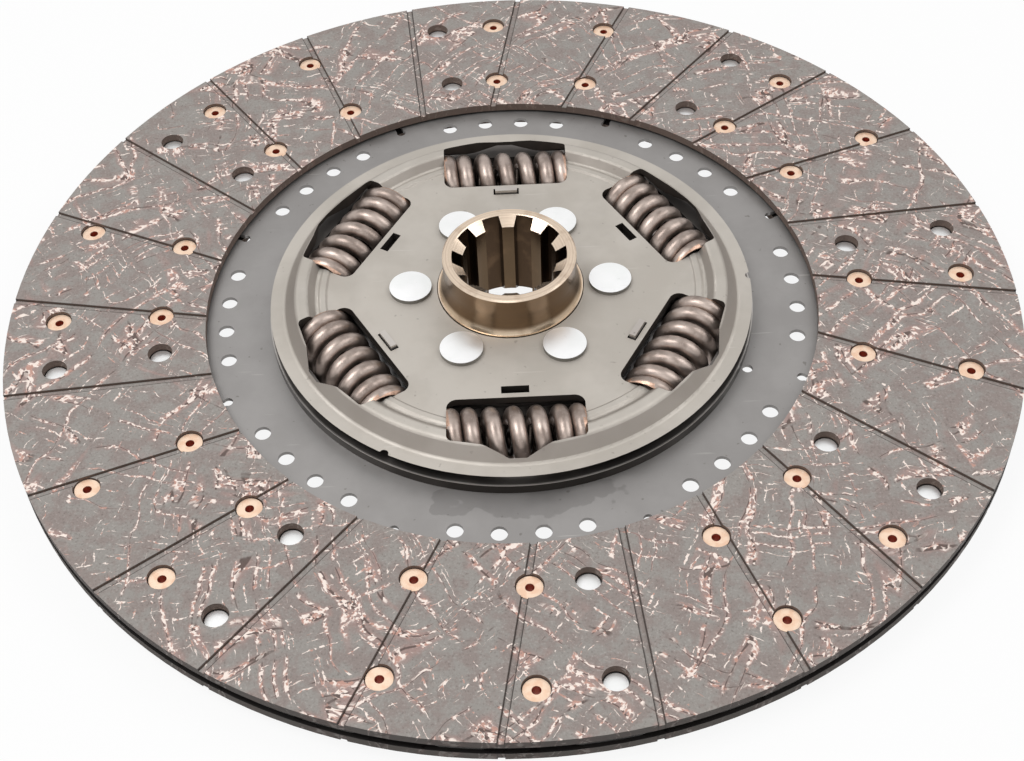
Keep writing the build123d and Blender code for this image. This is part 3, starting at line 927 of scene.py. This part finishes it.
@dataclass
class Facings:
    """Both friction facings and the rivets that stand in them."""

    lining: WoundLining = WoundLining("wound_moulded_lining")
    rear_lining: WoundLining = WoundLining("wound_moulded_lining_rear", grey="938f86", brown_grey="878278")
    copper: SoftCopper = SoftCopper("set_copper_rivet")
    plated: PlatedHead = PlatedHead(
        "zinc_plated_paddle_rivet",
        bright="ffffff",
        dull="fafbfa",
        roughness=0.34,
        cloud_mm=9.0,
        speck_share=0.0,
    )

    def dress(self, nodes: dict[str, Piece]) -> dict[str, str]:
        """Give the facings and their rivets their finishes.

        Args:
            nodes: The CAD nodes by name.

        Returns:
            Each piece with its finish.
        """
        plan: dict[str, Surface] = {"front_facing": self.lining, "rear_facing": self.rear_lining}
        for ring in ("outer", "inner"):
            plan[f"facing_rivets_{ring}"] = self.copper
            plan[f"paddle_rivets_{ring}"] = self.plated
        return paint(nodes, plan)


@dataclass
class Plates:
    """Cushion disc and drive plate with the flush rivets between them."""

    cushion: StainedSheet = StainedSheet(
        "ground_cushion_steel", bright="9f9c9a", dull="989593", roughness=0.5
    )
    plate: EdgedPlate = EdgedPlate("oiled_plate_steel", bright="7d7874", dull="6a6562", roughness=0.36)

    def dress(self, nodes: dict[str, Piece]) -> dict[str, str]:
        """Give the plates their finishes.

        Args:
            nodes: The CAD nodes by name.

        Returns:
            Each piece with its finish.
        """
        plan = {"cushion_disc": self.cushion, "drive_plate": self.plate, "drive_plate_rivets": self.plate}
        return paint(nodes, plan)


@dataclass
class Covers:
    """The two pressed covers, their rivets and the rings between them."""

    pressed: PressedCover = PressedCover(
        "pressed_cover_steel", bright="c2bcb4", dull="b8b2aa", roughness=0.6, speck_share=0.3
    )
    rear_pressed: PressedCover = replace(pressed, name="pressed_rear_cover_steel", inside_rise=1.0)
    plated: PlatedHead = PlatedHead(
        "zinc_plated_rivet", bright="ffffff", dull="fafbfa", roughness=0.34, cloud_mm=12.0, speck_share=0.1
    )
    ring: LugSteel = LugSteel("shaded_oiled_ring_steel", bright="cac4be", dull="b9b2ac")
    rubbing: SheetSteel = SheetSteel(
        "moulded_friction_ring", bright="4a4643", dull="383533", roughness=0.7, metallic=0.0
    )

    def dress(self, nodes: dict[str, Piece]) -> dict[str, str]:
        """Give the covers, rivets and rings their finishes.

        Args:
            nodes: The CAD nodes by name.

        Returns:
            Each piece with its finish.
        """
        plan: dict[str, Surface] = {
            "front_cover": self.pressed,
            "rear_cover": self.rear_pressed,
            "cover_rivets": self.plated,
        }
        plan |= dict.fromkeys(("pressure_ring", "spring_washer", "thrust_ring"), self.ring)
        plan |= dict.fromkeys(("front_friction_ring", "rear_friction_ring"), self.rubbing)
        return paint(nodes, plan)


@dataclass
class SplinedHub:
    """The hub in the middle."""

    turned: TurnedSteel = TurnedSteel("turned_hub_steel")

    def dress(self, nodes: dict[str, Piece]) -> dict[str, str]:
        """Give the hub its finish.

        Args:
            nodes: The CAD nodes by name.

        Returns:
            The piece with its finish.
        """
        return paint(nodes, {"hub": self.turned})


@dataclass(frozen=True)
class CoilForm:
    """Size of one kind of spring in millimetres, as in the solids, and its finishes."""

    kind: str
    outer_radius: float
    wire_radius: float
    pitch: float
    open_turns: float
    half_length: float
    kept_length: float
    winding: Winding
    ground: bool
    round_steps: int
    wire: SpringWire
    flat: GroundEnd = GroundEnd("ground_spring_flat")
    rim: GroundEnd = GroundEnd("rubbed_spring_rim", straw="cdab97", brown="b08f7c")
    rim_width: float = 1.0
    closing_turns: float = 0.2
    coil_gap: float = 0.15
    ground_tip: float = 0.6
    steps_per_turn: int = 24

    def centre_line(self) -> list[tuple[float, float, float]]:
        """Follow the wire's middle: open turns in the middle of the spring, closed coils at both ends.

        Returns:
            Points in millimetres along the spring's own Z, with a coil's middle on its X axis.
        """
        closed_pitch = 2 * self.wire_radius + self.coil_gap
        closing_rise = (self.pitch + closed_pitch) / 2 * self.closing_turns
        reach = self.half_length + self.ground_tip * self.wire_radius if self.ground else self.half_length
        closed_rise = reach - self.open_turns * self.pitch - closing_rise
        half_turns = self.open_turns + self.closing_turns + closed_rise / closed_pitch
        steps = round(half_turns * self.steps_per_turn)
        mean_radius = self.outer_radius - self.wire_radius
        points = []
        for step in range(-steps, steps + 1):
            turn = half_turns * abs(step) / steps
            closing = min(max(turn - self.open_turns, 0), self.closing_turns)
            height = min(turn, self.open_turns) * self.pitch
            height += closing * (self.pitch - (self.pitch - closed_pitch) * closing / self.closing_turns / 2)
            height += max(turn - self.open_turns - self.closing_turns, 0) * closed_pitch
            angle = self.winding.value * math.copysign(2 * math.pi * turn, step)
            spot = (mean_radius * math.cos(angle), mean_radius * math.sin(angle), math.copysign(height, step))
            points.append(spot)
        return points


@dataclass
class DamperSprings:
    """Six pairs of coaxial springs."""

    joint: str = "damper_turn"
    body: str = "hub_assembly"
    count: int = 6
    first_window_deg: float = 30.0
    ring_radius_mm: float = 71.0
    plane_mm: float = 2.2
    smooth_deg: float = 50.0
    flat_depth_m: float = 1e-5
    outer: CoilForm = CoilForm(
        "outer_spring",
        outer_radius=12.7,
        wire_radius=3.15,
        pitch=8.5,
        open_turns=1.8,
        half_length=25.5,
        kept_length=0.59,
        winding=Winding.RIGHT,
        ground=True,
        round_steps=6,
        wire=SpringWire("oil_tempered_wire"),
    )
    inner: CoilForm = CoilForm(
        "inner_spring",
        outer_radius=6.0,
        wire_radius=1.45,
        pitch=5.1,
        open_turns=3.9,
        half_length=23.95,
        kept_length=0.65,
        winding=Winding.LEFT,
        ground=False,
        round_steps=4,
        # Painted shade: the inner wire is a darker copy of the outer wire's finish, for the shade inside the
        # outer coil.
        wire=SpringWire("oil_tempered_inner_wire", bright="5b534d", dark="453e39"),
    )

    def wind(self, form: CoilForm, name: str) -> Piece:
        """Draw the wire along its centre line and make it a mesh with closed ends.

        Args:
            form: The kind of spring.
            name: Name of the new piece.

        Returns:
            The coil, along the Z axis at the origin.
        """
        line = bpy.data.curves.new(name, "CURVE")
        line.dimensions = "3D"
        line.bevel_depth = form.wire_radius / MM_PER_M
        line.bevel_resolution = form.round_steps
        line.use_fill_caps = True
        points = form.centre_line()
        spline = line.splines.new("POLY")
        spline.points.add(len(points) - 1)
        for point, spot in zip(spline.points, points):
            point.co = (*(value / MM_PER_M for value in spot), 1.0)
        coil = bpy.data.objects.new(name, line)
        bpy.context.scene.collection.objects.link(coil)
        bpy.ops.object.select_all(action="DESELECT")
        bpy.context.view_layer.objects.active = coil
        coil.select_set(True)
        bpy.ops.object.convert(target="MESH")
        return bpy.context.object

    def grind(self, coil: Piece, form: CoilForm) -> None:
        """Grind both ends flat at the window's length, and give the flats and their rims their finishes.

        Args:
            coil: The active coil.
            form: Its kind.
        """
        end = form.half_length / MM_PER_M
        bpy.ops.object.mode_set(mode="EDIT")
        for side in (1, -1):
            bpy.ops.mesh.select_all(action="SELECT")
            cut = {"plane_co": (0, 0, side * end), "plane_no": (0, 0, side)}
            bpy.ops.mesh.bisect(**cut, use_fill=True, clear_outer=True)
        bpy.ops.mesh.select_all(action="SELECT")
        bpy.ops.mesh.normals_make_consistent(inside=False)
        bpy.ops.object.mode_set(mode="OBJECT")
        rim = end - form.rim_width / MM_PER_M
        for face in coil.data.polygons:
            if abs(face.center.z) > end - self.flat_depth_m:
                face.material_index = 1
            elif abs(face.center.z) > rim:
                face.material_index = 2

    def seat(self, coil: Piece, number: int) -> Vector:
        """Lay the coil in its window and leave the object at the origin.

        Args:
            coil: The active coil.
            number: The window, from 1.

        Returns:
            The way that the coil's axis points.
        """
        angle = math.radians(self.first_window_deg + (number - 1) * 360 / self.count)
        outwards = Vector((math.cos(angle), math.sin(angle), 0))
        along = Vector((-math.sin(angle), math.cos(angle), 0))
        up = Vector((0, 0, 1))
        turned = Matrix((up, outwards, along)).transposed().to_4x4()
        middle = (outwards * self.ring_radius_mm + up * self.plane_mm) / MM_PER_M
        coil.matrix_world = Matrix.Translation(middle) @ turned
        bpy.ops.object.transform_apply(location=True, rotation=True, scale=True)
        return along

    def dress(self, nodes: dict[str, Piece]) -> dict[str, str]:
        """Wind, grind and seat each spring in place of its plain solid.

        Args:
            nodes: The CAD nodes by name.

        Returns:
            Each piece with its finish.
        """
        dressed = {}
        for form in (self.outer, self.inner):
            finishes = (form.wire, form.flat, form.rim) if form.ground else (form.wire,)
            materials = [finish.build() for finish in finishes]
            names = sorted(name for name in nodes if name.startswith(form.kind))
            for number, name in enumerate(names, start=1):
                coil = self.wind(form, f"coil_{name}")
                for material in materials:
                    coil.data.materials.append(material)
                if form.ground:
                    self.grind(coil, form)
                along = self.seat(coil, number)
                bpy.ops.object.shade_smooth_by_angle(angle=math.radians(self.smooth_deg))
                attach(coil, self.body)
                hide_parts(name)
                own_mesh(coil)
                dressed[coil.name] = form.wire.name
        return dressed


@dataclass(frozen=True)
class Softbox:
    """A square soft lamp: its place and width in metres and its power in watts."""

    name: str
    spot: tuple[float, float, float]
    watts: float
    width: float

    def hang(self) -> None:
        """Hang the lamp so that it shines at the disc."""
        data = bpy.data.lights.new(self.name, "AREA")
        data.energy = self.watts
        data.size = self.width
        lamp = bpy.data.objects.new(self.name, data)
        bpy.context.scene.collection.objects.link(lamp)
        lamp.location = self.spot
        lamp.rotation_euler = (-Vector(self.spot)).to_track_quat("-Z", "Y").to_euler()


@dataclass
class Studio:
    """Floor, soft lights, world and the camera at the photograph's angle."""

    look_at_mm: tuple[float, float, float] = (-1.02, -44.34, 5.15)
    distance_mm: float = 624.97
    elevation_deg: float = 48.088
    roll_deg: float = -2.516
    focal_px: float = 1661.3
    image_width_px: int = 1024
    sensor_mm: float = 36.0
    nearest_m: float = 0.01
    lamps: tuple[Softbox, ...] = (
        Softbox("key_softbox", (-0.8, -0.1, 1.7), 14.0, 0.9),
        Softbox("fill_softbox", (1.2, 0.1, 1.3), 6.0, 1.0),
        Softbox("front_softbox", (-0.2, -1.4, 1.2), 2.5, 1.0),
    )
    floor_half_m: float = 4.0
    paper: str = "f2f2f2"
    paper_roughness: float = 0.9
    paper_glow: float = 0.9
    white: str = "ffffff"
    sky_low: str = "6e6e6e"
    sky_high: str = "d8d8d8"
    sky_rise: Fade = (-0.1, 0.8)
    sky_level: float = 0.8
    glossy_share: float = 0.8

    def camera(self) -> None:
        """Place the camera."""
        data = bpy.data.cameras.new("photo_camera")
        data.sensor_width = self.sensor_mm
        data.lens = self.focal_px / self.image_width_px * self.sensor_mm
        data.clip_start = self.nearest_m
        body = bpy.data.objects.new("photo_camera", data)
        bpy.context.scene.collection.objects.link(body)
        tilt = Matrix.Rotation(math.radians(90 - self.elevation_deg), 4, "X")
        aim = tilt @ Matrix.Rotation(math.radians(self.roll_deg), 4, "Z")
        back = (aim @ Vector((0, 0, 1, 0))).to_3d()
        spot = (Vector(self.look_at_mm) + back * self.distance_mm) / MM_PER_M
        body.matrix_world = Matrix.Translation(spot) @ aim
        bpy.context.scene.camera = body

    def shown_white(self, tree: Tree) -> Socket:
        """Tell the rays that show the background from those that light the object.

        Args:
            tree: The floor's or the world's node tree.

        Returns:
            1 for rays of the camera and through glass, and somewhat less for reflections.
        """
        camera = add(tree, "LightPath", output="Is Camera Ray")
        through = add(tree, "LightPath", output="Is Transmission Ray")
        glossy = add(tree, "LightPath", output="Is Glossy Ray")
        seen = add(tree, "Math", camera, through, operation="MAXIMUM")
        mirrored = add(tree, "Math", glossy, self.glossy_share, operation="MULTIPLY")
        return add(tree, "Math", seen, mirrored, operation="MAXIMUM")

    def floor(self, low_z: float) -> None:
        """Lay matt white paper under the disc, which glows a little where it is seen.

        Args:
            low_z: Height of the disc's lowest point.
        """
        bpy.ops.mesh.primitive_plane_add(size=2 * self.floor_half_m, location=(0, 0, low_z))
        plane = bpy.context.object
        plane.name = "studio_floor"
        material = bpy.data.materials.new("matt_white_paper")
        material.use_nodes = True
        tree = material.node_tree
        shader = tree.nodes["Principled BSDF"]
        shader.inputs["Base Color"].default_value = linear(self.paper)
        shader.inputs["Roughness"].default_value = self.paper_roughness
        share = add(tree, "Math", self.shown_white(tree), self.paper_glow, operation="MULTIPLY")
        paper = add(tree, "MixShader", share, shader.outputs[0], add(tree, "Emission", self.white, 1.0))
        tree.links.new(paper, tree.nodes["Material Output"].inputs["Surface"])
        plane.data.materials.append(material)
        plane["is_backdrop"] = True

    def world(self) -> None:
        """Give the room a soft light from all round, and a white background."""
        world = bpy.data.worlds.new("white_room")
        bpy.context.scene.world = world
        world.use_nodes = True
        tree = world.node_tree
        height = add(tree, "SeparateXYZ", add(tree, "TexCoord", output="Generated"), output="Z")
        rise = within(tree, (height, self.sky_rise))
        room = add(tree, "Background", layered(tree, self.sky_low, (rise, self.sky_high)), self.sky_level)
        shown = add(tree, "Background", self.white, 1.0)
        mixed = add(tree, "MixShader", self.shown_white(tree), room, shown)
        tree.links.new(mixed, tree.nodes["World Output"].inputs["Surface"])

    def build(self, low_z: float) -> None:
        """Set up floor, lamps, world and camera.

        Args:
            low_z: Height of the disc's lowest point.
        """
        self.floor(low_z)
        for lamp in self.lamps:
            lamp.hang()
        self.world()
        self.camera()
        bpy.context.scene.view_settings.view_transform = "Standard"


def main() -> None:
    """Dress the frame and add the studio."""
    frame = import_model()
    low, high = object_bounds()
    cad_box = [list(low), list(high)]
    for part in (Facings(), Plates(), Covers(), SplinedHub(), DamperSprings()):
        for piece, finish in part.dress(frame["nodes"]).items():
            LOG.info("%s: %s in %s", type(part).__name__, piece, finish)
    Studio().build(cad_box[0][2])
    low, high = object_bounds()


if __name__ == "__main__":
    logging.basicConfig(level=logging.INFO)
    main()
